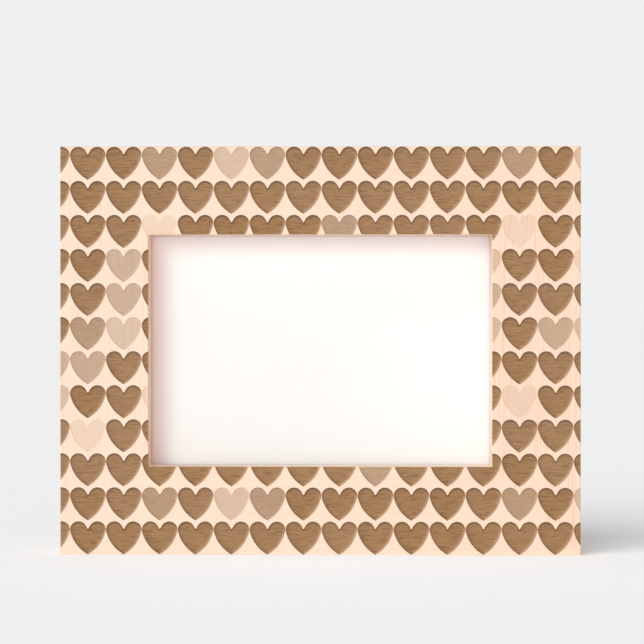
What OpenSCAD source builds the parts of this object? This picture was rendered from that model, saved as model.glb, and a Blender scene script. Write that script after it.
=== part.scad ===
// Mitred wooden picture frame, its face engraved with a grid of hearts, with a folding easel leg.
// Millimetres. X runs along the frame, the face looks to -Y, and Z is up.
// The origin is the middle of the bottom face that the frame stands on.

/* [Picture] */
// Width of the print that the frame takes
print_w = 127; // [80:0.5:400]
// Height of the print
print_h = 88.9; // [76:0.1:300]
// How much the rabbet is wider and higher than the print
print_allowance = 3.2; // [1.6:0.1:6]

/* [Moulding] */
// Width of the face, from the outer edge to the opening
face_w = 30.15; // [26:0.05:60]
// Width of the rabbet that holds the glass and the boards
rabbet_w = 6.35; // [4:0.05:9]
// Thickness of the lip in front of the glass
lip_t = 12; // [5:0.5:25]
// Chamfer along the outer back edge
back_ease = 0.8; // [0.2:0.1:2]

/* [Filling] */
// Thickness of the glass
glazing_t = 2; // [1:0.1:4]
// Thickness of the blank paper sheet
sheet_t = 0.3; // [0.2:0.05:0.6]
// Thickness of the filler card
card_t = 1.5; // [0.5:0.1:4]
// Thickness of the backing board
board_t = 3; // [2:0.1:6]
// How far the backing board lies inside the back of the moulding
board_recess = 0.2; // [0:0.05:0.5]
// Gap round the glass and the boards in the rabbet
fill_gap = 0.5; // [0.2:0.1:1]

/* [Engraving] */
// Number of rows of hearts in the height of the frame
heart_rows = 12; // [8:1:18]
// Distance between the columns of hearts
column_pitch = 12.29; // [9:0.01:20]
// Wood left between the hearts of a row
column_gap = 0.2; // [0.1:0.05:2]
// Wood left between two rows
row_gap = 0.3; // [0.2:0.05:2]
// How far the grid lies to the right of the middle
grid_shift = 0.3; // [0:0.05:2]
// Depth of the dark hearts
dark_depth = 0.6; // [0.3:0.05:1.5]
// Depth of the paler hearts
mid_depth = 0.3; // [0.2:0.05:1]
// Depth of the pale hearts
light_depth = 0.2; // [0.15:0.05:0.8]
// Depth of the faintest hearts
faint_depth = 0.12; // [0.1:0.01:0.5]

/* [Corner nails] */
// Length of one wing of a corner nail
nail_wing = 4.5; // [3:0.1:7]
// Thickness of its steel
nail_t = 0.6; // [0.4:0.05:1]
// How deep it is driven
nail_depth = 7; // [4:0.5:10]

/* [Turn-buttons] */
// Distance of a button's screw from the end of the rabbet
button_inset = 23; // [18:0.5:30]
// Distance of a button's screw from the edge of the rabbet
button_setback = 8; // [6:0.5:12]
// Distance from a button's screw to the round of its tip
button_l = 11.5; // [9:0.5:16]
// Radius of a button round its screw
button_r = 4; // [3:0.1:6]
// Radius of its tip
button_tip_r = 2.5; // [1.5:0.1:4]
// Thickness of a button
button_t = 1.2; // [0.8:0.1:2]
// Radius of the screw's shank
screw_r = 1.25; // [0.8:0.05:2]
// Length of the screw in the wood
screw_l = 9; // [5:0.5:14]
// Radius of the screw's head
screw_head_r = 2.6; // [2:0.1:4]
// Height of the screw's head
screw_head_h = 1.5; // [1:0.1:2.5]

/* [Easel leg] */
// Distance of the hinge axis below the top of the backing board
hinge_drop = 15.5; // [14:0.5:40]
// How far the folded leg ends above the surface
foot_rise = 3; // [1:0.5:12]
// Width of the leg at its top
leg_top_w = 24; // [20:1:40]
// Width of the leg at its foot
leg_foot_w = 40; // [24:1:44]
// Thickness of the leg
leg_t = 3; // [2:0.1:6]
// Gap between the folded leg and the backing board
leg_gap = 0.6; // [0.5:0.1:2]
// Radius of the arch cut in the foot
foot_arch_r = 15; // [10:0.5:20]
// How far the arch reaches up
foot_arch_h = 5; // [2:0.5:8]
// How far the leg opens, in degrees
open_angle = 28; // [15:1:35]

/* [Hinge] */
// Thickness of the hinge plates
plate_t = 0.8; // [0.6:0.1:1.5]
// Width of the fixed plate, over both of its knuckles
plate_w = 26; // [22:0.5:40]
// Height of the fixed plate above the hinge axis
plate_h = 12.5; // [11:0.5:14]
// Length of the middle knuckle
knuckle_l = 12; // [8:0.5:16]
// Length of the leaf below the hinge axis
leaf_l = 14; // [12:0.5:24]
// Radius of the hinge pin
pin_r = 1; // [0.8:0.05:1.1]
// Radius of the pin's peened ends
pin_head_r = 1.5; // [1.4:0.1:1.8]
// Radius of a rivet
rivet_r = 1.2; // [0.8:0.05:1.5]
// Radius of a rivet's head
rivet_head_r = 2.3; // [2:0.1:3]
// Height of a rivet's head
rivet_head_h = 0.8; // [0.5:0.1:1.2]
// Distance between two rivets
rivet_pitch = 14; // [10:0.5:15]

/* [Hanger] */
// Length of the sawtooth hanger
hanger_l = 40; // [34:1:60]
// Height of the hanger
hanger_h = 8; // [6:0.5:12]
// Thickness of its steel
hanger_t = 0.7; // [0.5:0.1:1.2]
// How far its middle stands off the wood
hanger_bow = 1.8; // [1:0.1:3]
// Length of the flat tab at each end
hanger_tab = 7; // [6:0.5:9]
// Height of a tooth
tooth_h = 1.4; // [0.8:0.1:2]
// Number of teeth
teeth = 9; // [5:2:13]
// Radius of a hanger nail
hanger_nail_r = 0.8; // [0.6:0.05:1.2]
// Length of a hanger nail in the wood
hanger_nail_l = 9; // [6:0.5:14]
// Radius of the nail's head
hanger_nail_head_r = 1.8; // [1.2:0.1:2.4]
// Height of the nail's head
hanger_nail_head_h = 0.6; // [0.4:0.1:1]

/* [Fits] */
// Radial clearance of a turning fit
turn_fit = 0.05; // [0.02:0.01:0.1]
// Clearance of a fastener in its hole
seat_fit = 0.02; // [0.01:0.01:0.05]
// Gap at each side of a piece that turns
side_gap = 0.15; // [0.1:0.05:0.4]
// Gap kept between a turning piece and what it passes
pass_gap = 0.4; // [0.3:0.05:0.6]
// Gap left at the hinge's stop when the leg is open
stop_gap = 0.1; // [0.05:0.05:0.2]
// How far the hinge's knuckles stand proud of its leaf
knuckle_proud = 0.1; // [0.05:0.05:0.3]

/* [Hidden] */
$fn = 96;

// Overrun of a cut past the face that it opens
cut = 1;
// How far a heart's lobes stand proud of the lines that run into them
lobe_proud = 0.02;

// Rabbet, opening and outer size, from the print outwards
rabbet_open_w = print_w + print_allowance;
rabbet_open_h = print_h + print_allowance;
opening_w = rabbet_open_w - 2 * rabbet_w;
opening_h = rabbet_open_h - 2 * rabbet_w;
outer_w = opening_w + 2 * face_w;
outer_h = opening_h + 2 * face_w;
mid_z = outer_h / 2;
back_w = face_w - rabbet_w;

// Depths along Y, from the face to the back
rabbet_d = glazing_t + sheet_t + card_t + board_t + board_recess;
frame_t = lip_t + rabbet_d;
face_y = -frame_t / 2;
back_y = frame_t / 2;
lip_y = face_y + lip_t;
sheet_y = lip_y + glazing_t;
card_y = sheet_y + sheet_t;
board_y = card_y + card_t;
board_back_y = board_y + board_t;

// Glass and boards
fill_w = rabbet_open_w - 2 * fill_gap;
fill_h = rabbet_open_h - 2 * fill_gap;

// Grid of hearts: the rows share out the height, and an even number of columns covers the width
row_pitch = outer_h / heart_rows;
heart_columns = 2 * ceil(outer_w / 2 / column_pitch);
heart_w = column_pitch - column_gap;
heart_h = row_pitch - row_gap;
lobe_r_share = 0.2355;
notch_share = 0.245;
side_r_share = 1;

// Paler hearts as [row, column], both counted from 1 at the top left. All others are dark.
mid_hearts = [
    [1, 4], [1, 7], [1, 14], [3, 9], [6, 2], [6, 15], [7, 2], [10, 10], [11, 4], [11, 7], [11, 14]
];
light_hearts = [
    [1, 6], [1, 16], [4, 3], [4, 13], [5, 3], [5, 13], [6, 3], [6, 13], [6, 16],
    [7, 1], [8, 1], [11, 6], [11, 16]
];
faint_hearts = [[3, 4], [3, 14], [4, 16], [8, 4], [8, 14], [9, 2]];

// Turn-buttons and hinge
button_x = rabbet_open_w / 2 - button_inset;
button_low_z = back_w - button_setback;
button_high_z = outer_h - button_low_z;
button_y = back_y + turn_fit;
axis_z = mid_z + fill_h / 2 - hinge_drop;
barrel_r = (leg_gap + leg_t + plate_t + knuckle_proud - pass_gap) / 2;
axis_y = board_back_y + pass_gap + barrel_r;
leg_y = board_back_y + leg_gap;
leaf_y = leg_y + leg_t;
leg_l = axis_z - foot_rise;
leg_top = barrel_r + pass_gap;
pin_l = plate_w + 2 * side_gap;
rivet_rise = plate_h - rivet_head_r - plate_t;
rivet_drop = leaf_l - rivet_head_r - plate_t;
lug_l = plate_h / 2;
lug_w = knuckle_l - 2 * plate_t;

// Hanger, on the middle of the top rail's back
hanger_z = outer_h - back_w / 2;
hanger_hole_x = (hanger_l - hanger_tab) / 2;
bridge_l = hanger_l - 2 * hanger_tab - 2 * hanger_bow;

wood = [1, 0.886, 0.804];
steel = [0.72, 0.73, 0.74];

// A flat shape in X and Z, made solid from depth y0 to y1
module slab(y0, y1) {
    translate([0, y1, 0]) rotate([90, 0, 0]) linear_extrude(y1 - y0) children();
}

// A round bar along Y
module bar_y(r, y0, y1, x, z) {
    translate([x, y1, z]) rotate([90, 0, 0]) cylinder(r = r, h = y1 - y0);
}

// A round bar along X, on the hinge axis
module bar_x(r, x0, x1) {
    translate([x0, axis_y, axis_z]) rotate([0, 90, 0]) cylinder(r = r, h = x1 - x0);
}

// A box from its low corner to its high corner
module block(low, high) {
    translate(low) cube(high - low);
}

function unit(v) = v / norm(v);
function left_of(v) = [-v[1], v[0]];

// The heart is drawn round the middle of its own box.
// Each lobe is a circle. Each side is a wide arc that runs out of its lobe and ends at the tip.
lobe_r = lobe_r_share * heart_w;
lobe = [heart_w / 2 - lobe_r, heart_h / 2 - lobe_r];
tip = [0, -heart_h / 2];
notch = [0, heart_h / 2 - notch_share * heart_h];
side_r = side_r_share * heart_w;
to_tip = unit(tip - lobe);
span = norm(tip - lobe);
side_reach = side_r - lobe_r + lobe_proud;
along = (side_reach * side_reach - side_r * side_r + span * span) / (2 * span);
across = sqrt(side_reach * side_reach - along * along);
side_mid = lobe + along * to_tip - across * left_of(to_tip);
shoulder = side_mid + side_r * unit(lobe - side_mid);
notch_reach = norm(lobe - notch);
notch_r = lobe_r - lobe_proud;
notch_turn = atan2(lobe[1] - notch[1], lobe[0] - notch[0]) + asin(notch_r / notch_reach);
notch_side = sqrt(notch_reach * notch_reach - notch_r * notch_r);
notch_end = notch + notch_side * [cos(notch_turn), sin(notch_turn)];

function mirrored(p) = [-p[0], p[1]];

module heart() {
    for (s = [-1, 1]) translate([s * lobe[0], lobe[1]]) circle(lobe_r);
    polygon([
        notch, notch_end, lobe, [lobe[0], shoulder[1]],
        [-lobe[0], shoulder[1]], mirrored(lobe), mirrored(notch_end)
    ]);
    intersection() {
        translate(side_mid) circle(side_r);
        translate(mirrored(side_mid)) circle(side_r);
        translate([-heart_w / 2, tip[1] - cut]) square([heart_w, shoulder[1] - tip[1] + cut]);
    }
}

// Middle of a heart's cell, in X and Z
function heart_x(column) = grid_shift + (column - (heart_columns + 1) / 2) * column_pitch;
function heart_z(row) = outer_h - (row - 1 / 2) * row_pitch;

function listed(list, row, column) = len([for (p = list) if (p == [row, column]) p]) > 0;
function heart_depth(row, column) =
    listed(mid_hearts, row, column) ? mid_depth :
    listed(light_hearts, row, column) ? light_depth :
    listed(faint_hearts, row, column) ? faint_depth : dark_depth;

// The four members: which way their inner edge looks, in X and Z
bottom = [0, 1];
top = [0, -1];
left = [1, 0];
right = [-1, 0];

// Distance of a point from the outer edge of a member
function inset_from(side, x, z) =
    side[0] == 0 ? (side[1] > 0 ? z : outer_h - z) : outer_w / 2 + side[0] * x;
// The least and the greatest distance of a heart's cell from that edge
function near_inset(side, x, z) = inset_from(side, x, z) - (side[0] == 0 ? heart_h : heart_w) / 2;
function far_inset(side, x, z) = inset_from(side, x, z) + (side[0] == 0 ? heart_h : heart_w) / 2;

// Does a heart reach into the mitred field of this member?
function reaches(side, x, z) =
    let (near = near_inset(side, x, z), ends = side[0] == 0 ? [left, right] : [bottom, top])
    near < face_w
    && near < far_inset(ends[0], x, z)
    && near < far_inset(ends[1], x, z);

// The face of one member between its two mitres
module mitred_face(side) {
    l = side[0] == 0 ? outer_w : outer_h;
    turn = side == bottom ? 0 : side == right ? 90 : side == top ? 180 : 270;
    translate([0, mid_z]) rotate(turn) translate([0, -(side[0] == 0 ? outer_h : outer_w) / 2])
        polygon([[-l / 2, 0], [l / 2, 0], [l / 2 - face_w, face_w], [face_w - l / 2, face_w]]);
}

module centred_square(w, h) {
    translate([-w / 2, mid_z - h / 2]) square([w, h]);
}

// The hearts that fall on one member, each cut to its own depth. They run off the edges of the frame.
module hearts(side) {
    for (row = [1:heart_rows], column = [1:heart_columns]) {
        x = heart_x(column);
        z = heart_z(row);
        if (reaches(side, x, z))
            slab(face_y - cut, face_y + heart_depth(row, column)) translate([x, z]) heart();
    }
}

// The moulding's section, run as a ring of the whole frame, before the rabbet
module moulding_ring() {
    difference() {
        slab(face_y, back_y) centred_square(outer_w, outer_h);
        slab(face_y - cut, back_y + cut) centred_square(opening_w, opening_h);
        slab(lip_y, back_y + cut) centred_square(rabbet_open_w, rabbet_open_h);
    }
}

// The chamfer along the outer back edge of one member
module eased_edge(side) {
    turn = side == bottom ? 0 : side == right ? 90 : side == top ? 180 : 270;
    l = side[0] == 0 ? outer_w : outer_h;
    d = side[0] == 0 ? outer_h : outer_w;
    translate([0, 0, mid_z]) rotate([0, -turn, 0]) translate([-l / 2 - cut, back_y, -d / 2])
        rotate([90, 0, 90]) linear_extrude(l + 2 * cut)
            polygon([[-back_ease, 0], [back_ease, -2 * back_ease], [back_ease, 2 * back_ease],
                [0, back_ease]]);
}

module member(side) {
    difference() {
        intersection() {
            moulding_ring();
            slab(face_y - cut, back_y + cut) mitred_face(side);
        }
        eased_edge(side);
        hearts(side);
        corner_nails(nail_fit_t, back_y + cut);
        member_holes(side);
    }
}

// Pilot holes for the turn-button screws and the hanger nails
module member_holes(side) {
    if (side[0] == 0) {
        z = side == top ? button_high_z : button_low_z;
        for (s = [-1, 1]) bar_y(screw_r + seat_fit, back_y - screw_l - seat_fit, back_y + cut, s * button_x, z);
    }
    if (side == top) for (s = [-1, 1])
        bar_y(hanger_nail_r + seat_fit, back_y - hanger_nail_l - seat_fit, back_y + cut,
            s * hanger_hole_x, hanger_z);
}

// Two bent steel strips across each mitre, driven from the back
nail_fit_t = nail_t + 2 * seat_fit;
nail_set = back_ease;
nail_bend = 30;
nail_place_shares = [0.33, 0.72];

module corner_nail(t) {
    for (s = [-1, 1]) rotate(s * nail_bend) translate([s > 0 ? 0 : -nail_wing, -t / 2])
        square([nail_wing, t]);
}

module corner_nails(t, y1) {
    slab(back_y - nail_set - nail_depth - (t - nail_t), y1)
        for (sx = [-1, 1], sz = [-1, 1], share = nail_place_shares)
            translate([sx * (outer_w / 2 - share * back_w), mid_z + sz * (mid_z - share * back_w)])
                rotate(atan2(sz, sx) - 90) corner_nail(t);
}

module v_nails() color(steel) corner_nails(nail_t, back_y - nail_set);

module top_rail() color(wood) member(top);
module bottom_rail() color(wood) member(bottom);
module left_stile() color(wood) member(left);
module right_stile() color(wood) member(right);

module glazing() color([0.85, 0.93, 0.95, 0.35]) slab(lip_y, sheet_y) centred_square(fill_w, fill_h);
module insert_sheet() color([1, 1, 0.99]) slab(sheet_y, card_y) centred_square(print_w, print_h);
module filler_card() color([0.62, 0.6, 0.56]) slab(card_y, board_y) centred_square(fill_w, fill_h);

// Places of the rivets, in X
rivet_x = [-rivet_pitch / 2, rivet_pitch / 2];

module backing_board() color([0.24, 0.19, 0.16]) difference() {
    slab(board_y, board_back_y) centred_square(fill_w, fill_h);
    for (x = rivet_x) bar_y(rivet_r + seat_fit, board_y - cut, board_back_y + cut, x, axis_z + rivet_rise);
}

// Two circles of different size joined by their outer tangents, the second one above the first
module link(r0, r1, l) {
    turn = asin((r0 - r1) / l);
    circle(r0);
    translate([0, l]) circle(r1);
    polygon([
        [-r0 * cos(turn), r0 * sin(turn)], [r0 * cos(turn), r0 * sin(turn)],
        [r1 * cos(turn), l + r1 * sin(turn)], [-r1 * cos(turn), l + r1 * sin(turn)]
    ]);
}

// A turn-button points from its screw over the edge of the backing board
module turn_button(x_side, up) color(steel) difference() {
    translate([x_side * button_x, 0, up ? button_low_z : button_high_z])
        slab(button_y, button_y + button_t) rotate(up ? 0 : 180)
            difference() {
                link(button_r, button_tip_r, button_l);
                circle(screw_r + turn_fit);
            }
}

module turn_button_top_left() turn_button(-1, false);
module turn_button_top_right() turn_button(1, false);
module turn_button_bottom_left() turn_button(-1, true);
module turn_button_bottom_right() turn_button(1, true);

screw_head_y = button_y + button_t + turn_fit;
slot_w = screw_head_r / 4;
slot_d = screw_head_h / 2;

// Round-headed screw with a cross slot, its axis along Y
module button_screw() {
    dome_r = (screw_head_r * screw_head_r + screw_head_h * screw_head_h) / (2 * screw_head_h);
    difference() {
        union() {
            bar_y(screw_r, back_y - screw_l, screw_head_y, 0, 0);
            intersection() {
                bar_y(screw_head_r, screw_head_y, screw_head_y + screw_head_h, 0, 0);
                translate([0, screw_head_y + screw_head_h - dome_r, 0]) sphere(dome_r);
            }
        }
        for (turn = [0, 90]) rotate([0, turn, 0])
            block([-screw_head_r / 2, screw_head_y + slot_d, -slot_w / 2],
                [screw_head_r / 2, screw_head_y + screw_head_h + cut, slot_w / 2]);
    }
}

module turn_button_screws() color(steel)
    for (x = [-button_x, button_x], z = [button_low_z, button_high_z]) translate([x, 0, z]) button_screw();

// Rivet through a plate and what it is riveted to, with a domed head
module rivet(y0, y1, x, z) {
    dome_r = (rivet_head_r * rivet_head_r + rivet_head_h * rivet_head_h) / (2 * rivet_head_h);
    bar_y(rivet_r, y0, y1, x, z);
    intersection() {
        bar_y(rivet_head_r, y1, y1 + rivet_head_h, x, z);
        translate([x, y1 + rivet_head_h - dome_r, z]) sphere(dome_r);
    }
}

// Fixed plate with a knuckle at each end and a cut between them for the middle knuckle
module hinge_plate() color(steel) difference() {
    gap_x = knuckle_l / 2 + side_gap;
    union() {
        block([-plate_w / 2, board_back_y, axis_z], [plate_w / 2, board_back_y + plate_t, axis_z + plate_h]);
        for (s = [-1, 1]) {
            x0 = s > 0 ? gap_x : -plate_w / 2;
            bar_x(barrel_r, x0, x0 + plate_w / 2 - gap_x);
            block([x0, board_back_y, axis_z], [x0 + plate_w / 2 - gap_x, axis_y, axis_z + pin_r]);
        }
    }
    block([-gap_x, board_back_y - cut, axis_z - barrel_r - cut],
        [gap_x, axis_y + barrel_r + cut, axis_z + barrel_r + pass_gap]);
    bar_x(pin_r + seat_fit, -plate_w, plate_w);
    for (x = rivet_x)
        bar_y(rivet_r + seat_fit, board_back_y - cut, board_back_y + plate_t + cut, x, axis_z + rivet_rise);
}

module hinge_plate_rivets() color(steel)
    for (x = rivet_x) rivet(board_y, board_back_y + plate_t, x, axis_z + rivet_rise);

module hinge_pin() color(steel) {
    bar_x(pin_r, -pin_l / 2, pin_l / 2);
    for (x0 = [-pin_l / 2 - plate_t, pin_l / 2]) bar_x(pin_head_r, x0, x0 + plate_t);
}

// Moving leaf with the middle knuckle, and a lug that meets the fixed plate when the leg is open
module leg_leaf() color(steel) difference() {
    union() {
        bar_x(barrel_r, -knuckle_l / 2, knuckle_l / 2);
        block([-knuckle_l / 2, leaf_y, axis_z - leg_top - plate_t],
            [knuckle_l / 2, leaf_y + plate_t, axis_z]);
        block([-leg_top_w / 2 + plate_t, leaf_y, axis_z - leaf_l],
            [leg_top_w / 2 - plate_t, leaf_y + plate_t, axis_z - leg_top]);
        translate([0, axis_y, axis_z]) rotate([-open_angle, 0, 0]) translate([0, -axis_y, -axis_z])
            block([-lug_w / 2, board_back_y + plate_t + stop_gap, axis_z],
                [lug_w / 2, board_back_y + 2 * plate_t + stop_gap, axis_z + lug_l]);
    }
    bar_x(pin_r + turn_fit, -knuckle_l, knuckle_l);
    for (x = rivet_x)
        bar_y(rivet_r + seat_fit, leaf_y - cut, leaf_y + plate_t + cut, x, axis_z - rivet_drop);
}

module leg_rivets() color(steel)
    for (x = rivet_x) rivet(leg_y, leaf_y + plate_t, x, axis_z - rivet_drop);

// The leg widens to its foot, which ends on an arc round the hinge and is arched into two toes
module easel_leg() color([0.24, 0.19, 0.16]) difference() {
    slab(leg_y, leaf_y) translate([0, axis_z]) difference() {
        intersection() {
            polygon([
                [-leg_top_w / 2, -leg_top], [leg_top_w / 2, -leg_top],
                [leg_foot_w / 2, -leg_l], [-leg_foot_w / 2, -leg_l]
            ]);
            circle(leg_l);
        }
        translate([0, -leg_l - foot_arch_r + foot_arch_h]) circle(foot_arch_r);
    }
    for (x = rivet_x) bar_y(rivet_r + seat_fit, leg_y - cut, leaf_y + cut, x, axis_z - rivet_drop);
}

// Outline of half the hanger seen from above, from the middle to the end
half_hanger = [
    [0, hanger_bow], [bridge_l / 2, hanger_bow], [bridge_l / 2 + hanger_bow, 0], [hanger_l / 2, 0]
];

module hanger_plate() color(steel) difference() {
    translate([0, back_y, hanger_z - hanger_h / 2]) linear_extrude(hanger_h) polygon(concat(
        [for (p = half_hanger) p],
        [for (i = [len(half_hanger) - 1:-1:0]) half_hanger[i] + [0, hanger_t]],
        [for (p = half_hanger) if (p[0] > 0) [-p[0], p[1] + hanger_t]],
        [for (i = [len(half_hanger) - 1:-1:1]) mirrored(half_hanger[i])]
    ));
    tooth_w = bridge_l / teeth;
    slab(back_y, back_y + hanger_bow + hanger_t + cut) for (i = [0:teeth - 1])
        translate([(i - (teeth - 1) / 2) * tooth_w, hanger_z - hanger_h / 2])
            polygon([[-tooth_w / 2, -cut], [tooth_w / 2, -cut], [0, tooth_h]]);
    for (s = [-1, 1])
        bar_y(hanger_nail_r + seat_fit, back_y - cut, back_y + hanger_t + cut, s * hanger_hole_x, hanger_z);
}

module hanger_nails() color(steel) for (s = [-1, 1]) {
    bar_y(hanger_nail_r, back_y - hanger_nail_l, back_y + hanger_t, s * hanger_hole_x, hanger_z);
    bar_y(hanger_nail_head_r, back_y + hanger_t, back_y + hanger_t + hanger_nail_head_h,
        s * hanger_hole_x, hanger_z);
}

top_rail();
bottom_rail();
left_stile();
right_stile();
v_nails();
glazing();
insert_sheet();
filler_card();
backing_board();
turn_button_top_left();
turn_button_top_right();
turn_button_bottom_left();
turn_button_bottom_right();
turn_button_screws();
hinge_plate();
hinge_plate_rivets();
hinge_pin();
leg_leaf();
leg_rivets();
easel_leg();
hanger_plate();
hanger_nails();
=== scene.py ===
import math
import random

import bmesh
import bpy
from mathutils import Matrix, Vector


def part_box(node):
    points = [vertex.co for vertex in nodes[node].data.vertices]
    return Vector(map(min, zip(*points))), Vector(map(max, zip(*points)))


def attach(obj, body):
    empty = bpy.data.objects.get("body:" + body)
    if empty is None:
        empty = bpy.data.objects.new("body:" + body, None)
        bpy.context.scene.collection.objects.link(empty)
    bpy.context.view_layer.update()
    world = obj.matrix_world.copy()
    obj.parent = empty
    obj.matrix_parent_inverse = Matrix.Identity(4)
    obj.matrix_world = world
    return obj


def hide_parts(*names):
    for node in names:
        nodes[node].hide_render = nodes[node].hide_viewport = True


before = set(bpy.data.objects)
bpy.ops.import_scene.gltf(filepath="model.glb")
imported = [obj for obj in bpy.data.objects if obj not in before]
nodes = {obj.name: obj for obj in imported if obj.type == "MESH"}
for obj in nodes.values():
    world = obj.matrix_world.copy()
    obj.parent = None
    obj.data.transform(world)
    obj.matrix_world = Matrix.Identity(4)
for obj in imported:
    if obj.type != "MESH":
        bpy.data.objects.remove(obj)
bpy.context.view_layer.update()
mm = 0.001


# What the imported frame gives: outer size, opening, depths
topLow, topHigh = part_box("top_rail")
leftLow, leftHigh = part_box("left_stile")
glassLow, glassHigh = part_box("glazing")
outerW = topHigh.x - topLow.x
outerH = topHigh.z
faceY = topLow.y
backY = topHigh.y
midZ = outerH / 2
faceW = leftHigh.x - leftLow.x  # from the outer edge to the opening
lipY = glassLow.y  # back of the lip, where the glass rests
openW = outerW - 2 * faceW
openH = outerH - 2 * faceW
print("frame", round(outerW / mm, 1), "x", round(outerH / mm, 1), "mm, opening",
      round(openW / mm, 1), "x", round(openH / mm, 1))


moulding = {
    "rabbetW": 6.35 * mm,  # width of the step that holds the glass
    "backEase": 0.8 * mm,  # chamfer along the outer back edge
    "faceEase": 0.3 * mm,  # rounding of the two front edges
    "easeSteps": 3,
    "weld": 0.001 * mm,  # corners closer than this are one corner
    "tiny": 0.003 * mm,  # shorter edges, left by the cuts, are closed up
    "sharpTurn": 40,  # degrees between two faces from which their edge stays sharp
    "overrun": 0.4 * mm,  # of a cut, past the face that it opens
    "nailSlotDeeper": 0.05 * mm,  # the corner nails lie this far above the floor of their slots
}

hearts = {
    "rows": 12,
    "columnPitch": 12.29 * mm,
    "columnGap": 0.08 * mm,
    "rowGap": 0.3 * mm,
    "shift": 0.46 * mm,  # the grid lies this far to the right of the middle
    "lobeRadiusShare": 0.2355,
    "notchShare": 0.245,
    "sideRadiusShare": 1.0,
    "lobeSteps": 15,
    "sideSteps": 8,
    "notchRadius": 0.22 * mm,  # the beam can't cut the point of the V any sharper
    "notchSteps": 6,
    "wallWidth": 1.3 * mm,  # how far the cove of a wall reaches in
    "wallSteps": 6,
    "seed": 11,
    # (row, column) from the top left; every other heart is dark
    "mid": [(1, 4), (1, 7), (1, 14), (3, 9), (6, 2), (10, 10), (11, 4), (11, 7), (11, 14)],
    "soft": [(4, 3), (5, 3), (5, 13), (6, 15), (7, 2), (7, 1)],
    "light": [(1, 6), (1, 16), (4, 13), (6, 3), (6, 13), (6, 16), (8, 1), (11, 6), (11, 16)],
    "faint": [(3, 4), (3, 14), (4, 16), (8, 4), (8, 14), (9, 2)],
}

# How deep and how brown each tone is burnt, and by how much single hearts differ
tones = {
    "dark": {"depth": 0.6 * mm, "char": 0.97, "spread": 0.02},
    "mid": {"depth": 0.3 * mm, "char": 0.765, "spread": 0.025},
    "soft": {"depth": 0.25 * mm, "char": 0.62, "spread": 0.06},
    "light": {"depth": 0.2 * mm, "char": 0.42, "spread": 0.05},
    "faint": {"depth": 0.12 * mm, "char": 0.17, "spread": 0.04},
}

rowPitch = outerH / hearts["rows"]
columns = 2 * math.ceil(outerW / 2 / hearts["columnPitch"])
heartW = hearts["columnPitch"] - hearts["columnGap"]
heartH = rowPitch - hearts["rowGap"]


def heartX(column):
    return hearts["shift"] + (column - (columns + 1) / 2) * hearts["columnPitch"]


def heartZ(row):
    return outerH - (row - 0.5) * rowPitch


def heartTone(row, column):
    for tone in ("mid", "soft", "light", "faint"):
        if (row, column) in hearts[tone]:
            return tones[tone]
    return tones["dark"]


def allHearts():
    # Every heart of the grid with its place, its depth and its own shade of brown
    draw = random.Random(hearts["seed"])
    found = []
    for row in range(1, hearts["rows"] + 1):
        for column in range(1, columns + 1):
            tone = heartTone(row, column)
            char = tone["char"] + draw.uniform(-1, 1) * tone["spread"]
            found.append((heartX(column), heartZ(row), tone["depth"], char))
    return found


def heading(angle):
    return Vector((math.cos(angle), math.sin(angle)))


def bearing(v):
    return math.atan2(v.y, v.x)


def leftOf(v):
    return Vector((-v.y, v.x))


def arcPoints(centre, radius, start, end, steps):
    angles = [start + (end - start) * i / steps for i in range(steps + 1)]
    return [centre + radius * heading(a) for a in angles]


def heartOutline():
    # Counter-clockwise from the tip: right side, right lobe, notch, left lobe, left side
    lobeR = hearts["lobeRadiusShare"] * heartW
    sideR = hearts["sideRadiusShare"] * heartW
    lobe = Vector((heartW / 2 - lobeR, heartH / 2 - lobeR))
    tip = Vector((0, -heartH / 2))
    notch = Vector((0, heartH / 2 - hearts["notchShare"] * heartH))
    # The wide side arc goes through the tip and meets the lobe's circle without a corner
    toTip = (tip - lobe).normalized()
    span = (tip - lobe).length
    reach = sideR - lobeR
    along = (reach ** 2 - sideR ** 2 + span ** 2) / (2 * span)
    across = math.sqrt(reach ** 2 - along ** 2)
    sideMid = lobe + along * toTip - across * leftOf(toTip)
    shoulder = sideMid + sideR * (lobe - sideMid).normalized()
    # The flank of the V is the tangent from the notch to the lobe
    toLobe = lobe - notch
    flankTurn = bearing(toLobe) + math.asin(lobeR / toLobe.length)
    flankEnd = notch + math.sqrt(toLobe.length ** 2 - lobeR ** 2) * heading(flankTurn)
    side = arcPoints(sideMid, sideR, bearing(tip - sideMid), bearing(shoulder - sideMid),
                     hearts["sideSteps"])
    crown = arcPoints(lobe, lobeR, bearing(shoulder - lobe), bearing(flankEnd - lobe),
                      hearts["lobeSteps"])
    half = side + crown[1:]
    # The point of the V is a small arc, tangent to both flanks
    flank = (flankEnd - notch).normalized()
    opening = math.atan2(flank.x, flank.y)
    radius = hearts["notchRadius"]
    middle = notch + Vector((0, radius / math.sin(opening)))
    valley = arcPoints(middle, radius, -opening, opening - math.pi, hearts["notchSteps"])
    return half + valley + [Vector((-p.x, p.y)) for p in reversed(half[1:])]


def insetOutline(points, distance):
    # Every corner moves inwards along its mitre
    out = []
    for i, p in enumerate(points):
        before = leftOf((p - points[i - 1]).normalized())
        after = leftOf((points[(i + 1) % len(points)] - p).normalized())
        out.append(p + (before + after) * distance / (1 + before.dot(after)))
    return out


def bridge(bm, lower, upper):
    faces = []
    for i, corner in enumerate(lower):
        j = (i + 1) % len(lower)
        faces.append(bm.faces.new((corner, lower[j], upper[j], upper[i])))
    return faces


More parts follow.
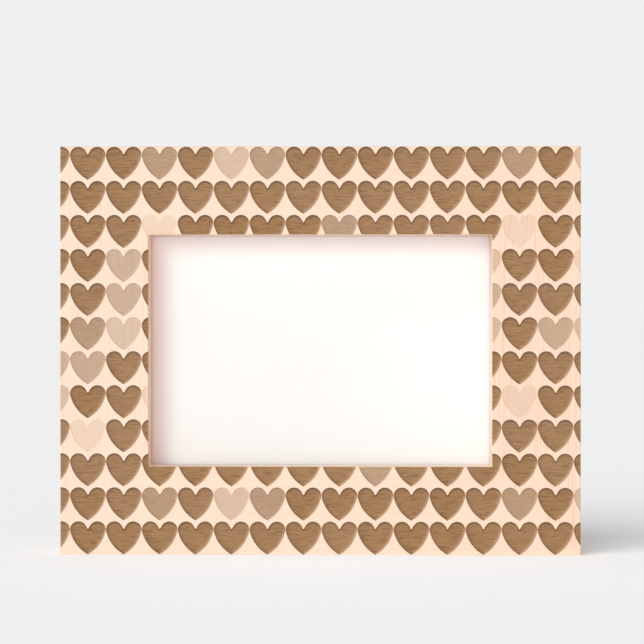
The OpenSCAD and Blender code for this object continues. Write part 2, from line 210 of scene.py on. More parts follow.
def addPlug(bm, outline, x, z, depth, char):
    # A closed plug: its sides sink steeply from the face and round out into a flat floor
    steps = hearts["wallSteps"]
    width = hearts["wallWidth"] * math.sqrt(depth / tones["dark"]["depth"])
    rings = [(faceY - moulding["overrun"], 0)]
    for k in range(steps + 1):
        a = k / steps * math.pi / 2
        rings.append((faceY + depth * math.sin(a), width * (1 - math.cos(a))))
    loops = []
    for y, inset in rings:
        shape = insetOutline(outline, inset) if inset else outline
        loops.append([bm.verts.new((x + p.x, y, z + p.y)) for p in shape])
    faces = [bm.faces.new(loops[0]), bm.faces.new(list(reversed(loops[-1])))]
    for a, b in zip(loops, loops[1:]):
        faces += bridge(bm, a, b)
    charLayer = bm.faces.layers.float["char"]
    depthLayer = bm.faces.layers.float["sunk"]
    for face in faces:
        face[charLayer] = char
        face[depthLayer] = depth
        face.material_index = 1


def newLayeredMesh():
    bm = bmesh.new()
    bm.faces.layers.float.new("char")
    bm.faces.layers.float.new("sunk")
    return bm


def newObject(name, bm):
    mesh = bpy.data.meshes.new(name)
    bm.to_mesh(mesh)
    bm.free()
    made = bpy.data.objects.new(name, mesh)
    bpy.context.scene.collection.objects.link(made)
    return made


# The four members: the direction from the frame's middle to each one, its length, the frame's size
# in that direction, and whether it stands upright
members = {
    "top_rail": {"out": Vector((0, 1)), "length": outerW, "across": outerH, "upright": False},
    "bottom_rail": {"out": Vector((0, -1)), "length": outerW, "across": outerH, "upright": False},
    "left_stile": {"out": Vector((-1, 0)), "length": outerH, "across": outerW, "upright": True},
    "right_stile": {"out": Vector((1, 0)), "length": outerH, "across": outerW, "upright": True},
}


def memberPoint(member, s, u):
    # s runs along the member, u from its outer edge to the opening; returns x and z
    p = member["out"] * (member["across"] / 2 - u) + leftOf(member["out"]) * s
    return p.x, midZ + p.y


def insetOf(member, x, z):
    out = member["out"]
    return member["across"] / 2 - (out.x * x + out.y * (z - midZ))


def memberProfile():
    # Section of the moulding as (distance from the outer edge, y), counter-clockwise from the outer
    # front edge
    ease = moulding["faceEase"]
    arc = [i / moulding["easeSteps"] * math.pi / 2 for i in range(moulding["easeSteps"] + 1)]
    points = [(ease - ease * math.cos(a), faceY + ease - ease * math.sin(a)) for a in arc]
    points += [(faceW - ease + ease * math.sin(a), faceY + ease - ease * math.cos(a)) for a in arc]
    backW = faceW - moulding["rabbetW"]
    points += [(faceW, lipY), (backW, lipY), (backW, backY)]
    points += [(moulding["backEase"], backY), (0, backY - moulding["backEase"])]
    return points


def memberMesh(member):
    bm = newLayeredMesh()
    ends = []
    for sign in (-1, 1):
        ring = []
        for u, y in memberProfile():
            x, z = memberPoint(member, sign * (member["length"] / 2 - u), u)
            ring.append(bm.verts.new((x, y, z)))
        ends.append(ring)
    bm.faces.new(ends[0])
    bm.faces.new(list(reversed(ends[1])))
    bridge(bm, ends[0], ends[1])
    bmesh.ops.recalc_face_normals(bm, faces=bm.faces)
    return bm


def halfHeart(member):
    return (heartW if member["upright"] else heartH) / 2


def reachesMember(member, x, z):
    # Does any part of a heart's box lie in the member's mitred field?
    near = insetOf(member, x, z) - halfHeart(member)
    if near > faceW:
        return False
    ends = [end for end in members.values() if end["upright"] != member["upright"]]
    return all(near < insetOf(end, x, z) + halfHeart(end) for end in ends)


def heartCutters(name):
    outline = heartOutline()
    bm = newLayeredMesh()
    for x, z, depth, char in allHearts():
        if reachesMember(members[name], x, z):
            addPlug(bm, outline, x, z, depth, char)
    bmesh.ops.recalc_face_normals(bm, faces=bm.faces)
    return newObject(name + "_hearts", bm)


def nailSlots():
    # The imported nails, moved back until they open the slots that they were driven through
    bm = bmesh.new()
    bm.from_mesh(nodes["v_nails"].data)
    low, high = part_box("v_nails")
    shift = high.y - low.y - moulding["nailSlotDeeper"]
    bmesh.ops.translate(bm, verts=bm.verts, vec=(0, shift, 0))
    bmesh.ops.remove_doubles(bm, verts=bm.verts, dist=moulding["weld"])
    bmesh.ops.recalc_face_normals(bm, faces=bm.faces)
    return newObject("nail_slots", bm)


def cutAway(piece, cutter):
    cut = piece.modifiers.new("cut", "BOOLEAN")
    cut.operation = "DIFFERENCE"
    cut.solver = "EXACT"
    cut.material_mode = "INDEX"
    cut.object = cutter
    bpy.context.view_layer.objects.active = piece
    bpy.ops.object.modifier_apply(modifier=cut.name)
    bpy.data.objects.remove(cutter)


def smoothByArea(piece):
    # Round stretches shade smooth, while edges stay sharp and large flat faces keep their own normal
    bm = bmesh.new()
    bm.from_mesh(piece.data)
    bmesh.ops.remove_doubles(bm, verts=bm.verts, dist=moulding["tiny"])
    bmesh.ops.dissolve_degenerate(bm, edges=bm.edges, dist=moulding["tiny"])
    bm.normal_update()
    for face in bm.faces:
        face.smooth = True
    for edge in bm.edges:
        turn = edge.calc_face_angle(math.pi) if edge.is_manifold else math.pi
        edge.smooth = turn < math.radians(moulding["sharpTurn"])
    bm.to_mesh(piece.data)
    bm.free()
    normals = piece.modifiers.new("normals", "WEIGHTED_NORMAL")
    normals.keep_sharp = True


def makeMember(name):
    piece = newObject("wood_" + name, memberMesh(members[name]))
    cutAway(piece, heartCutters(name))
    cutAway(piece, nailSlots())
    piece.data.materials.append(makeBareWood(name))
    piece.data.materials.append(makeBurntWood(name))
    smoothByArea(piece)
    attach(piece, "frame")
    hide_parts(name)
    return piece


# Shader helpers
def addNode(tree, kind, **values):
    node = tree.nodes.new(kind)
    for key, value in values.items():
        setattr(node, key, value)
    return node


def feed(tree, socket, value):
    # A socket takes a link or a plain value
    if isinstance(value, bpy.types.NodeSocket):
        tree.links.new(value, socket)
    elif value is not None:
        socket.default_value = value


def setInputs(node, **values):
    for key, value in values.items():
        feed(node.id_data, node.inputs[key.replace("_", " ")], value)
    return node


def newGroup(name, inputs, outputs):
    tree = bpy.data.node_groups.new(name, "ShaderNodeTree")
    for label, kind in inputs.items():
        tree.interface.new_socket(name=label, in_out="INPUT", socket_type=kind)
    for label in outputs:
        tree.interface.new_socket(name=label, in_out="OUTPUT", socket_type="NodeSocketFloat")
    return tree, tree.nodes.new("NodeGroupInput").outputs, tree.nodes.new("NodeGroupOutput")


def placeGroup(tree, groupTree, **values):
    return setInputs(addNode(tree, "ShaderNodeGroup", node_tree=groupTree), **values).outputs


def grey(v):
    return (v, v, v, 1)


def ramp(tree, source, stops):
    # Stops are (position, value) pairs
    node = setInputs(addNode(tree, "ShaderNodeValToRGB"), Fac=source)
    elements = node.color_ramp.elements
    for element, (position, value) in ((elements[0], stops[0]), (elements[1], stops[-1])):
        element.position = position
        element.color = grey(value)
    for position, value in stops[1:-1]:
        elements.new(position).color = grey(value)
    return node.outputs["Color"]


def mixColour(tree, factor, a, b):
    node = addNode(tree, "ShaderNodeMix", data_type="RGBA")
    for index, value in ((0, factor), (6, a), (7, b)):
        feed(tree, node.inputs[index], value)
    return node.outputs[2]


def calc(tree, operation, a, b=0.0, c=None, clamp=False):
    node = addNode(tree, "ShaderNodeMath", operation=operation, use_clamp=clamp)
    for socket, value in zip(node.inputs, (a, b, c)):
        feed(tree, socket, value)
    return node.outputs[0]


def times(tree, a, b, clamp=False):
    return calc(tree, "MULTIPLY", a, b, clamp=clamp)


def minus(tree, a, b):
    return calc(tree, "SUBTRACT", a, b)


def maskOf(tree, value, line):
    # line is (gain, offset); the result stays between 0 and 1
    return calc(tree, "MULTIPLY_ADD", value, line[0], line[1], clamp=True)


def split(tree, vector):
    return setInputs(addNode(tree, "ShaderNodeSeparateXYZ"), Vector=vector).outputs


def faceDirection(tree):
    return split(tree, addNode(tree, "ShaderNodeTexCoord").outputs["Normal"])


def faceValue(tree, name):
    node = addNode(tree, "ShaderNodeAttribute", attribute_name=name, attribute_type="GEOMETRY")
    return node.outputs["Fac"]


def noise(tree, vector, stretch=(1, 1, 1), offset=(0, 0, 0), detail=2.0, roughness=0.5, distortion=0.0):
    # stretch is the number of cells in a metre along each axis
    place = setInputs(addNode(tree, "ShaderNodeMapping"), Vector=vector, Scale=stretch, Location=offset)
    node = setInputs(addNode(tree, "ShaderNodeTexNoise"), Vector=place.outputs["Vector"], Scale=1.0,
                     Detail=detail, Roughness=roughness, Distortion=distortion)
    return node.outputs["Fac"]


def bump(tree, shader, height, look):
    strength, distance = look
    node = setInputs(addNode(tree, "ShaderNodeBump"), Strength=strength, Distance=distance, Height=height)
    setInputs(shader, Normal=node.outputs["Normal"])


def newMaterial(name, **values):
    material = bpy.data.materials.new(name)
    material.use_nodes = True
    tree = material.node_tree
    shader = setInputs(tree.nodes["Principled BSDF"], **values)
    coordinates = addNode(tree, "ShaderNodeTexCoord")
    return material, tree, shader, coordinates.outputs["Object"]


grainLook = {
    "fibre": {"stretch": (34, 3300, 3300), "roughness": 0.6},
    "figure": {"stretch": (9, 60, 60), "distortion": 0.6},
    "dashes": {"stretch": (150, 2600, 2600), "offset": (3, 1, 7), "detail": 1.0},
    "fleck": [(0.60, 0), (0.72, 1)],  # how much of the dashes shows
}


def closeGrain():
    # Fine fibres along X, soft figure and short flecks
    tree, source, sink = newGroup("closeGrain", {"Vector": "NodeSocketVector"},
                                  ("Fibre", "Figure", "Fleck"))
    vector = source["Vector"]
    dashes = noise(tree, vector, **grainLook["dashes"])
    setInputs(sink, Fibre=noise(tree, vector, **grainLook["fibre"]),
              Figure=noise(tree, vector, **grainLook["figure"]),
              Fleck=ramp(tree, dashes, grainLook["fleck"]))
    return tree


streakLook = {
    "lines": {"stretch": (260, 1300, 3000), "detail": 3.0, "roughness": 0.65},
    "soft": [(0.36, 0), (0.70, 0.55)],  # how much of the lines shows
    "dashes": {"stretch": (270, 1500, 3300), "offset": (4, 9, 2), "detail": 1.0},
    "cracks": [(0.56, 0), (0.66, 1)],  # and of the dashes
    "patch": {"stretch": (160, 300, 380), "offset": (5, 2, 1), "detail": 4.0, "roughness": 0.65},
}


def burnStreaks():
    # The engraver's passes leave level streaks, always along X
    tree, source, sink = newGroup("burnStreaks", {"Vector": "NodeSocketVector"}, ("Streak", "Patch"))
    vector = source["Vector"]
    soft = ramp(tree, noise(tree, vector, **streakLook["lines"]), streakLook["soft"])
    cracks = ramp(tree, noise(tree, vector, **streakLook["dashes"]), streakLook["cracks"])
    setInputs(sink, Streak=calc(tree, "MAXIMUM", soft, cracks),
              Patch=noise(tree, vector, **streakLook["patch"]))
    return tree


spotLook = {
    "cloud": {"detail": 3.0},
    "grit": {"stretch": (14, 14, 14)},  # finer than the clouds by this much
}


def dullSpots():
    # Slow clouds and fine grit for metals, boards, card, paper and glass
    tree, source, sink = newGroup("dullSpots", {"Vector": "NodeSocketVector", "Scale": "NodeSocketFloat"},
                                  ("Cloud", "Grit"))
    scaled = setInputs(addNode(tree, "ShaderNodeVectorMath", operation="SCALE"), Vector=source["Vector"],
                       Scale=source["Scale"])
    vector = scaled.outputs[0]
    setInputs(sink, Cloud=noise(tree, vector, **spotLook["cloud"]),
              Grit=noise(tree, vector, **spotLook["grit"]))
    return tree


woodLook = {
    "pale": (0.985, 0.780, 0.625, 1),
    "warm": (0.987, 0.722, 0.540, 1),
    "warmthGrows": (4.0, 0.1),  # for each metre to the right, and at the middle
    "warmthPatches": {"stretch": (6, 6, 6), "offset": (0.4, 0, 0.2), "detail": 1.0},
    "patchAmount": 0.35,
    "figureAmount": 0.35,
    "fleckColour": (0.86, 0.60, 0.45, 1),
    "fleckAmount": 0.22,
    "lineColour": (0.86, 0.53, 0.36, 1),
    "linesWithin": (0.35, 0.50),  # of the fibre
    "planedLines": 2.2,  # how much plainer the lines are on the sides and the back
    "wallMargin": 0.1 * mm,  # a wall of the window is known by lying this close to the opening
    "roughness": 0.62,
    "ior": 1.35,
    "bump": (0.12, 0.05 * mm),
}

# Each member is a board of its own: where in the wood it was cut, how plain its lines are,
# and the colour of its wall in the window, which is painted shade, warmer and darker, on the left stile
# and painted light, paler, on the others
boards = {
    "top_rail": {"cutAt": (0.13, 0.02, 0.05), "lines": 0.22, "litOrShadedWall": (0.988, 0.800, 0.660, 1)},
    "bottom_rail": {"cutAt": (0.41, 0.07, 0.11), "lines": 0.24, "litOrShadedWall": (0.990, 0.850, 0.735, 1)},
    "left_stile": {"cutAt": (0.31, 0.17, 0.07), "lines": 0.30, "litOrShadedWall": (0.988, 0.725, 0.550, 1)},
    "right_stile": {"cutAt": (0.77, 0.23, 0.19), "lines": 0.60, "litOrShadedWall": (0.990, 0.865, 0.755, 1)},
}


def grainVector(tree, vector, name):
    # The grain runs along X, so it is turned for an upright member
    turn = math.pi / 2 if members[name]["upright"] else 0
    node = setInputs(addNode(tree, "ShaderNodeMapping"), Vector=vector, Rotation=(0, turn, 0),
                     Location=boards[name]["cutAt"])
    return node.outputs["Vector"]


def wallMask(tree, place):
    # 1 on the walls of the window
    margin = woodLook["wallMargin"]
    besideX = minus(tree, openW / 2 + margin, calc(tree, "ABSOLUTE", place["X"]))
    besideZ = minus(tree, openH / 2 + margin, calc(tree, "ABSOLUTE", minus(tree, place["Z"], midZ)))
    return calc(tree, "GREATER_THAN", calc(tree, "MINIMUM", besideX, besideZ), 0.0)


def woodColour(tree, vector, name):
    look = woodLook
    grain = placeGroup(tree, grainGroup, Vector=grainVector(tree, vector, name))
    place = split(tree, vector)
    # The boards are warmer towards the right, in soft patches
    patches = noise(tree, vector, **look["warmthPatches"])
    rightness = calc(tree, "MULTIPLY_ADD", place["X"], *look["warmthGrows"])
    warmth = calc(tree, "ADD", rightness, times(tree, patches, look["patchAmount"]), clamp=True)
    base = mixColour(tree, warmth, look["pale"], look["warm"])
    # Painted light and shade on the window's walls: the left wall warmer and darker, the others paler
    # than the face
    wallLitOrShaded = mixColour(tree, wallMask(tree, place), base, boards[name]["litOrShadedWall"])
    figured = mixColour(tree, times(tree, grain["Figure"], look["figureAmount"]), wallLitOrShaded, look["warm"])
    # The sanded face shows less of the lines than the planed sides and back
    start, end = look["linesWithin"]
    lines = ramp(tree, grain["Fibre"], [(start, boards[name]["lines"]), (end, 0)])
    planed = calc(tree, "GREATER_THAN", place["Y"], faceY + tones["dark"]["depth"])
    plainer = calc(tree, "MULTIPLY_ADD", planed, look["planedLines"] - 1, 1)
    lined = mixColour(tree, times(tree, lines, plainer, clamp=True), figured, look["lineColour"])
    flecks = times(tree, grain["Fleck"], look["fleckAmount"])
    return mixColour(tree, flecks, lined, look["fleckColour"]), grain["Fibre"]


def makeBareWood(name):
    material, tree, shader, vector = newMaterial(name + "_bare", Roughness=woodLook["roughness"],
                                                 IOR=woodLook["ior"])
    colour, fibre = woodColour(tree, vector, name)
    setInputs(shader, Base_Color=colour)
    bump(tree, shader, fibre, woodLook["bump"])
    return material


burntLook = {
    "dark": (0.338, 0.196, 0.089, 1),
    "light": (0.440, 0.247, 0.122, 1),
    "scorched": (0.345, 0.216, 0.112, 1),  # where it is burnt only thinly
    "thin": (-2.8, 2.66),  # how thin it is burnt: gain and offset for the char
    "thinAmount": 0.8,
    "streakColour": (0.205, 0.098, 0.036, 1),
    "streakAmount": 0.8,
    # Painted shade: a dark colour laid on the pocket walls that face right and down, away from the key
    # light
    "paintedShade": (0.130, 0.085, 0.055, 1),
    "paintedShadeAmount": 0.72,
    "paintedSideShade": 0.22,  # how much painted shade the walls that face right get
    # Gain and offset for the direction that a wall faces
    "shadeFacingRight": (3.0, 0.3),
    "shadeFacingDown": (-6.0, -0.6),
    # Painted light: the pocket walls that face left and up, towards the key light, are kept pale near the
    # face
    "litFacingLeft": (-5.0, 0.0),
    "litFacingUp": (3.0, 0.05),
    # Down the wall, from the face at 0 to the floor at 1
    "paintedShadeDown": [(0.0, 1), (0.86, 0.9), (0.95, 0.6), (0.99, 0.25), (1.0, 0)],
    "litPaleDown": [(0.0, 0.58), (0.45, 0.72), (0.70, 0.83), (0.90, 0.94), (1.0, 1)],
    "roughness": 0.85,
    "ior": 1.25,
    "bump": (0.25, 0.06 * mm),
}


def makeBurntWood(name):
    look = burntLook
    material, tree, shader, vector = newMaterial(name + "_burnt", Roughness=look["roughness"],
                                                 IOR=look["ior"])
    wood = woodColour(tree, vector, name)[0]
    streaks = placeGroup(tree, streakGroup, Vector=vector)
    char = faceValue(tree, "char")
    sunk = minus(tree, split(tree, vector)["Y"], faceY)
    fallen = calc(tree, "DIVIDE", sunk, faceValue(tree, "sunk"))
    ground = mixColour(tree, streaks["Patch"], look["dark"], look["light"])
    thin = times(tree, maskOf(tree, char, look["thin"]), look["thinAmount"])
    scorched = mixColour(tree, thin, ground, look["scorched"])
    # Painted shade darkens the walls that face right and down, away from the key light, and painted light
    # keeps the walls that face left and up pale towards the face
    facing = faceDirection(tree)
    shadeSideways = times(tree, maskOf(tree, facing["X"], look["shadeFacingRight"]), look["paintedSideShade"])
    shadedFacing = calc(tree, "MAXIMUM", shadeSideways, maskOf(tree, facing["Z"], look["shadeFacingDown"]))
    paintedShade = times(tree, shadedFacing, ramp(tree, fallen, look["paintedShadeDown"]))
    shadePainted = mixColour(tree, times(tree, paintedShade, look["paintedShadeAmount"]), scorched, look["paintedShade"])
    streak = times(tree, streaks["Streak"], look["streakAmount"])
    streaked = mixColour(tree, streak, shadePainted, look["streakColour"])
    # Painted light: the walls that face left and up keep a paler band near the face
    litFacingLeft = maskOf(tree, facing["X"], look["litFacingLeft"])
    paintedLight = times(tree, litFacingLeft, maskOf(tree, facing["Z"], look["litFacingUp"]))
    burnShareLitPale = calc(tree, "MAXIMUM", ramp(tree, fallen, look["litPaleDown"]), minus(tree, 1.0, paintedLight))
    setInputs(shader, Base_Color=mixColour(tree, times(tree, char, burnShareLitPale), wood, streaked))
    bump(tree, shader, streaks["Streak"], look["bump"])
    return material


metalLook = {
    "zinc_steel": {"bright": (0.72, 0.73, 0.74, 1), "dull": (0.58, 0.59, 0.61, 1),
                   "smooth": 0.22, "rough": 0.42},
    "nail_steel": {"bright": (0.40, 0.40, 0.41, 1), "dull": (0.22, 0.21, 0.20, 1),
                   "smooth": 0.30, "rough": 0.55},
}

metalSurface = {
    "spots": 260.0,
    "dulled": [(0.35, 0), (0.7, 1)],
    "brush": {"stretch": (300, 5000, 5000)},
    "brushWithin": (0.3, 0.7),
    "bump": (0.06, 0.02 * mm),
}


def makeMetal(name, look):
    material, tree, shader, vector = newMaterial(name, Metallic=1.0)
    spots = placeGroup(tree, spotGroup, Vector=vector, Scale=metalSurface["spots"])
    dulled = ramp(tree, spots["Cloud"], metalSurface["dulled"])
    brush = noise(tree, vector, **metalSurface["brush"])
    start, end = metalSurface["brushWithin"]
    rough = setInputs(addNode(tree, "ShaderNodeMapRange", clamp=True), Value=brush, From_Min=start,
                      From_Max=end, To_Min=look["smooth"], To_Max=look["rough"])
    setInputs(shader, Base_Color=mixColour(tree, dulled, look["bright"], look["dull"]),
              Roughness=rough.outputs["Result"])
    bump(tree, shader, spots["Grit"], metalSurface["bump"])
    return material


boardLook = {
    "dark": (0.052, 0.033, 0.024, 1),
    "brown": (0.095, 0.060, 0.040, 1),
    "sawnEdge": (0.175, 0.112, 0.072, 1),  # the sawn edges show the paler inside of the board
    "sawn": (-3.0, 2.25),  # gain and offset for how squarely a face looks to the front or the back
    "roughness": 0.6,
    "fibres": {"stretch": (900, 900, 900), "detail": 4.0, "distortion": 1.2},
    "fibreAmount": 0.7,
    "spots": 190.0,
    "spotAmount": 0.4,
    "mottle": [(0.35, 0), (0.75, 1)],
    "screenPitch": 0.7 * mm,  # of the wire screen that the board was pressed on
    "screenAmount": 0.5,
    "bump": (0.5, 0.08 * mm),
}


def makeHardboard():
    look = boardLook
    material, tree, shader, vector = newMaterial("hardboard", Roughness=look["roughness"])
    spots = placeGroup(tree, spotGroup, Vector=vector, Scale=look["spots"])
    fibres = noise(tree, vector, **look["fibres"])
    cloud = times(tree, spots["Cloud"], look["spotAmount"])
    tone = ramp(tree, calc(tree, "MULTIPLY_ADD", fibres, look["fibreAmount"], cloud), look["mottle"])
    surface = mixColour(tree, tone, look["dark"], look["brown"])
    flatness = calc(tree, "ABSOLUTE", faceDirection(tree)["Y"])
    sawn = maskOf(tree, flatness, look["sawn"])
    sawnTone = mixColour(tree, fibres, look["brown"], look["sawnEdge"])
    setInputs(shader, Base_Color=mixColour(tree, sawn, surface, sawnTone))
    # Print of the wire screen
    place = split(tree, vector)
    waves = []
    for axis in ("X", "Z"):
        waves.append(calc(tree, "SINE", times(tree, place[axis], 2 * math.pi / look["screenPitch"])))
    screen = times(tree, waves[0], waves[1])
    height = calc(tree, "ADD", times(tree, screen, look["screenAmount"]), fibres)
    bump(tree, shader, height, look["bump"])
    return material


cardLook = {
    "grey": (0.36, 0.335, 0.30, 1),
    "speck": (0.25, 0.235, 0.21, 1),
    "specks": [(0.4, 0), (0.7, 1)],
    "roughness": 0.9,
    "spots": 500.0,
    "bump": (0.3, 0.04 * mm),
}


def makeCard():
    material, tree, shader, vector = newMaterial("greyCard", Roughness=cardLook["roughness"])
    grit = placeGroup(tree, spotGroup, Vector=vector, Scale=cardLook["spots"])["Grit"]
    specks = ramp(tree, grit, cardLook["specks"])
    setInputs(shader, Base_Color=mixColour(tree, specks, cardLook["grey"], cardLook["speck"]))
    bump(tree, shader, grit, cardLook["bump"])
    return material


paperLook = {
    "white": (0.990, 0.985, 0.975, 1),
    "offWhite": (0.975, 0.972, 0.965, 1),
    "paintedShadeLip": (0.990, 0.755, 0.705, 1),  # painted shade, warm and darker, at the lip of the left and top margins
    "paintedShadeFade": (0.990, 0.885, 0.900, 1),  # where that painted shade fades out
    "reach": 12 * mm,
    "shadeFalloff": [(0.0, 1), (0.20, 0.72), (0.42, 0.36), (0.68, 0.14), (1.0, 0)],  # over the reach
    "shadedMargins": {"left": 1.0, "top": 0.7},  # how strongly each carries the painted shade
    "roughness": 0.7,
    "spots": 350.0,
    "bump": (0.08, 0.01 * mm),
}


def makePaper():
    look = paperLook
    material, tree, shader, vector = newMaterial("whitePaper", Roughness=look["roughness"])
    spots = placeGroup(tree, spotGroup, Vector=vector, Scale=look["spots"])
    sheet = mixColour(tree, spots["Cloud"], look["white"], look["offWhite"])
    # Painted shade: the left and top margins are tinted warmer and darker, most strongly at the lip
    place = split(tree, vector)
    fromSide = {
        "left": calc(tree, "ADD", place["X"], openW / 2),
        "top": minus(tree, midZ + openH / 2, place["Z"]),
    }
    shadeTints = []
    for side, amount in look["shadedMargins"].items():
        inwards = calc(tree, "DIVIDE", fromSide[side], look["reach"])
        shadeTints.append(times(tree, ramp(tree, inwards, look["shadeFalloff"]), amount))
    tint = calc(tree, "MAXIMUM", shadeTints[0], shadeTints[1])
    # The colour of the painted shade, warmest right at the lip
    shadeHue = mixColour(tree, times(tree, tint, tint), look["paintedShadeFade"], look["paintedShadeLip"])
    setInputs(shader, Base_Color=mixColour(tree, tint, sheet, shadeHue))
    bump(tree, shader, spots["Grit"], look["bump"])
    return material


glassLook = {
    "clear": (1.0, 1.0, 1.0, 1),
    "tinged": (0.985, 0.995, 0.99, 1),
    "ior": 1.5,
    "spots": 40.0,
    "room": 0.04 * mm,  # on every side of the pane
    "edge": 0.25 * mm,  # the ground edges
}


def makeGlass():
    # Clear pane: lamps and soft light pass straight through it
    material, tree, shader, vector = newMaterial("clearGlass", Roughness=0.0, IOR=glassLook["ior"],
                                                 Transmission_Weight=1.0)
    smears = placeGroup(tree, spotGroup, Vector=vector, Scale=glassLook["spots"])
    tint = mixColour(tree, smears["Cloud"], glassLook["clear"], glassLook["tinged"])
    setInputs(shader, Base_Color=tint)
    path = addNode(tree, "ShaderNodeLightPath")
    clear = addNode(tree, "ShaderNodeBsdfTransparent")
    mixer = addNode(tree, "ShaderNodeMixShader")
    passing = calc(tree, "MAXIMUM", path.outputs["Is Shadow Ray"], path.outputs["Is Diffuse Ray"])
    tree.links.new(passing, mixer.inputs["Fac"])
    tree.links.new(shader.outputs[0], mixer.inputs[1])
    tree.links.new(clear.outputs[0], mixer.inputs[2])
    tree.links.new(mixer.outputs[0], tree.nodes["Material Output"].inputs["Surface"])
    return material


grainGroup = closeGrain()
streakGroup = burnStreaks()
spotGroup = dullSpots()
print("materials ready")

for name in members:
    piece = makeMember(name)
    print(piece.name, len(piece.data.polygons), "faces")


def makePane():
    bm = bmesh.new()
    bmesh.ops.create_cube(bm, size=1)
    size = glassHigh - glassLow - Vector((2, 2, 2)) * glassLook["room"]
    bmesh.ops.scale(bm, verts=bm.verts, vec=size)
    bmesh.ops.translate(bm, verts=bm.verts, vec=(glassLow + glassHigh) / 2)
    bmesh.ops.bevel(bm, geom=bm.edges[:], offset=glassLook["edge"], segments=1, affect="EDGES")
    piece = newObject("glass_pane", bm)
    piece.data.materials.append(makeGlass())
    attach(piece, "frame")
    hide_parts("glazing")


makePane()


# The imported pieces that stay: their finish, and how far their edges are rounded
finishes = {
    "hardboard": {"material": makeHardboard(), "edge": 0.25 * mm,
                  "pieces": ["backing_board", "easel_leg"]},
    "card": {"material": makeCard(), "edge": 0.1 * mm, "pieces": ["filler_card"]},
    "paper": {"material": makePaper(), "edge": 0, "pieces": ["insert_sheet"]},
    "zinc_steel": {"material": makeMetal("zincSteel", metalLook["zinc_steel"]), "edge": 0.12 * mm,
                   "pieces": ["turn_button_top_left", "turn_button_top_right", "turn_button_bottom_left",
                              "turn_button_bottom_right", "turn_button_screws", "hinge_plate",
                              "hinge_plate_rivets", "hinge_pin", "leg_leaf", "leg_rivets",
                              "hanger_plate"]},
    "nail_steel": {"material": makeMetal("nailSteel", metalLook["nail_steel"]), "edge": 0.06 * mm,
                   "pieces": ["v_nails", "hanger_nails"]},
}

rounding = {
    "flatWithin": 1,  # degrees; faces that turn less than this become one
    "roundedFrom": 40,  # degrees between two faces from which their edge is rounded
    "segments": 2,
}


def roundEdges(node, edge):
    weld = node.modifiers.new("weld", "WELD")
    weld.merge_threshold = moulding["weld"]
    tidy = node.modifiers.new("tidy", "DECIMATE")
    tidy.decimate_type = "DISSOLVE"
    tidy.angle_limit = math.radians(rounding["flatWithin"])
    bevel = node.modifiers.new("rounding", "BEVEL")
    bevel.width = edge
    bevel.segments = rounding["segments"]
    bevel.limit_method = "ANGLE"
    bevel.angle_limit = math.radians(rounding["roundedFrom"])
    bevel.use_clamp_overlap = True
    bevel.harden_normals = False


for finish, dress in finishes.items():
    for name in dress["pieces"]:
        nodes[name].data.materials.clear()
        nodes[name].data.materials.append(dress["material"])
        if dress["edge"]:
            roundEdges(nodes[name], dress["edge"])
    print(finish, len(dress["pieces"]), "pieces dressed")


# Floor, light and camera
studio = {
    "floorSize": 60.0,
    "floorColour": 0.5,
    "floorGlow": (0.320, 0.322, 0.325, 1),
    "glowOnThings": 0.6,  # how much of the glow falls on the frame
    "backdrop": 0.871,
    "ambient": 0.33,
    "ambientColour": (1.0, 0.955, 0.935, 1),
    "lampDistance": 2,
}

# A soft key from the upper left, a level fill into the window, a grazing lamp for the walls that face
# left, and a key that lights only the floor
lamps = {
    "key": {"strength": 0.98, "softness": 24, "fromLeft": 24, "height": 19,
            "colour": (0.95, 1.00, 1.02), "mirrored": True, "floorOnly": False},
    "fill": {"strength": 0.99, "softness": 4, "fromLeft": -0.5, "height": 0.5,
             "colour": (1.0, 0.93, 0.91), "mirrored": False, "floorOnly": False},
    "graze": {"strength": 0.70, "softness": 6, "fromLeft": 80, "height": 21,
              "colour": (1.0, 1.0, 1.0), "mirrored": False, "floorOnly": False},
    "floorKey": {"strength": 3.70, "softness": 52, "fromLeft": 37, "height": 40,
                 "colour": (1.0, 1.0, 1.0), "mirrored": False, "floorOnly": True},
}

view = {
    "distance": 0.75,
    "azimuth": 0.8,
    "elevation": 0.25,
    "aim": (0.64 * mm, 79.66 * mm),  # x and z in the plane of the face
    "lens": 122.8,
    "sensor": 36,
}


def direction(azimuth, elevation):
    # From the frame outwards, in degrees; azimuth 0 is straight to the front and grows to the right
    a, e = math.radians(azimuth), math.radians(elevation)
    return Vector((math.sin(a) * math.cos(e), -math.cos(a) * math.cos(e), math.sin(e)))


def seenDirectly(tree):
    path = addNode(tree, "ShaderNodeLightPath")
    shiny = calc(tree, "MAXIMUM", path.outputs["Is Glossy Ray"], path.outputs["Is Transmission Ray"])
    return calc(tree, "MAXIMUM", path.outputs["Is Camera Ray"], shiny)


litGroups = {True: bpy.data.collections.new("floorAlone"), False: bpy.data.collections.new("allButFloor")}


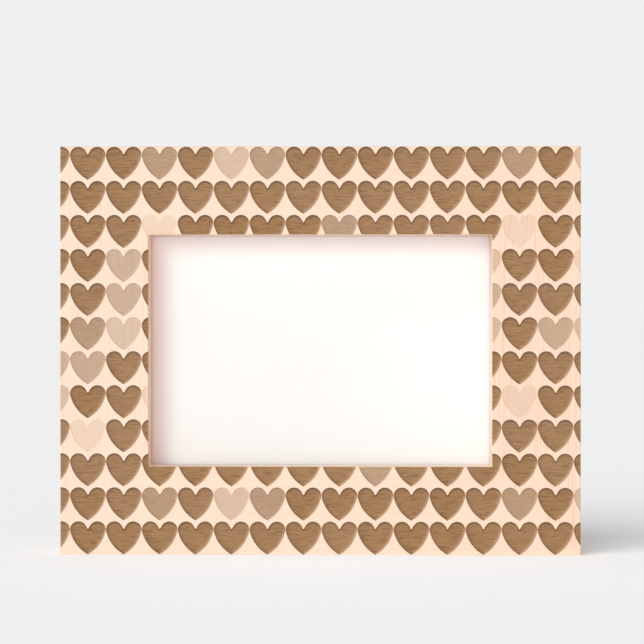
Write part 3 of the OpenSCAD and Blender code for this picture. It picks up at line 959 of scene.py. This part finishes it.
def makeFloor():
    bm = bmesh.new()
    bmesh.ops.create_grid(bm, x_segments=1, y_segments=1, size=studio["floorSize"] / 2)
    floor = newObject("floor", bm)
    material = bpy.data.materials.new("paleFloor")
    material.use_nodes = True
    tree = material.node_tree
    tree.nodes.remove(tree.nodes["Principled BSDF"])
    matt = setInputs(addNode(tree, "ShaderNodeBsdfDiffuse"), Color=grey(studio["floorColour"]))
    share = setInputs(addNode(tree, "ShaderNodeMapRange"), Value=seenDirectly(tree),
                      To_Min=studio["glowOnThings"])
    glow = setInputs(addNode(tree, "ShaderNodeEmission"), Color=studio["floorGlow"],
                     Strength=share.outputs["Result"])
    both = addNode(tree, "ShaderNodeAddShader")
    tree.links.new(matt.outputs[0], both.inputs[0])
    tree.links.new(glow.outputs[0], both.inputs[1])
    tree.links.new(both.outputs[0], tree.nodes["Material Output"].inputs["Surface"])
    floor.data.materials.append(material)
    for floorOnly, litGroup in litGroups.items():
        litGroup.objects.link(floor)
        litGroup.collection_objects[0].light_linking.link_state = "INCLUDE" if floorOnly else "EXCLUDE"


def makeWorld():
    # The backdrop is what the camera and reflections see, the ambient light is what falls on things
    world = bpy.data.worlds.new("studio")
    bpy.context.scene.world = world
    world.use_nodes = True
    tree = world.node_tree
    seen = seenDirectly(tree)
    strength = setInputs(addNode(tree, "ShaderNodeMapRange"), Value=seen, To_Min=studio["ambient"],
                         To_Max=studio["backdrop"])
    setInputs(tree.nodes["Background"], Color=mixColour(tree, seen, studio["ambientColour"], grey(1.0)),
              Strength=strength.outputs["Result"])


def makeLamp(name, lamp):
    light = bpy.data.lights.new(name, "SUN")
    light.energy = lamp["strength"]
    light.angle = math.radians(lamp["softness"])
    light.color = lamp["colour"]
    made = bpy.data.objects.new(name, light)
    bpy.context.scene.collection.objects.link(made)
    made.visible_glossy = lamp["mirrored"]
    made.visible_transmission = lamp["mirrored"]
    made.light_linking.receiver_collection = litGroups[lamp["floorOnly"]]
    towards = direction(-lamp["fromLeft"], lamp["height"])
    made.location = towards * studio["lampDistance"]
    made.rotation_euler = towards.to_track_quat("Z", "Y").to_euler()


def makeCamera():
    camera = bpy.data.objects.new("camera", bpy.data.cameras.new("camera"))
    bpy.context.scene.collection.objects.link(camera)
    camera.data.lens = view["lens"]
    camera.data.sensor_width = view["sensor"]
    back = direction(view["azimuth"], view["elevation"])
    aimX, aimZ = view["aim"]
    camera.location = Vector((aimX, faceY, aimZ)) + back * view["distance"]
    camera.rotation_euler = back.to_track_quat("Z", "Y").to_euler()
    bpy.context.scene.camera = camera


makeFloor()
makeWorld()
for name, lamp in lamps.items():
    makeLamp(name, lamp)
makeCamera()
bpy.context.scene.view_settings.view_transform = "Standard"
print("stage ready")
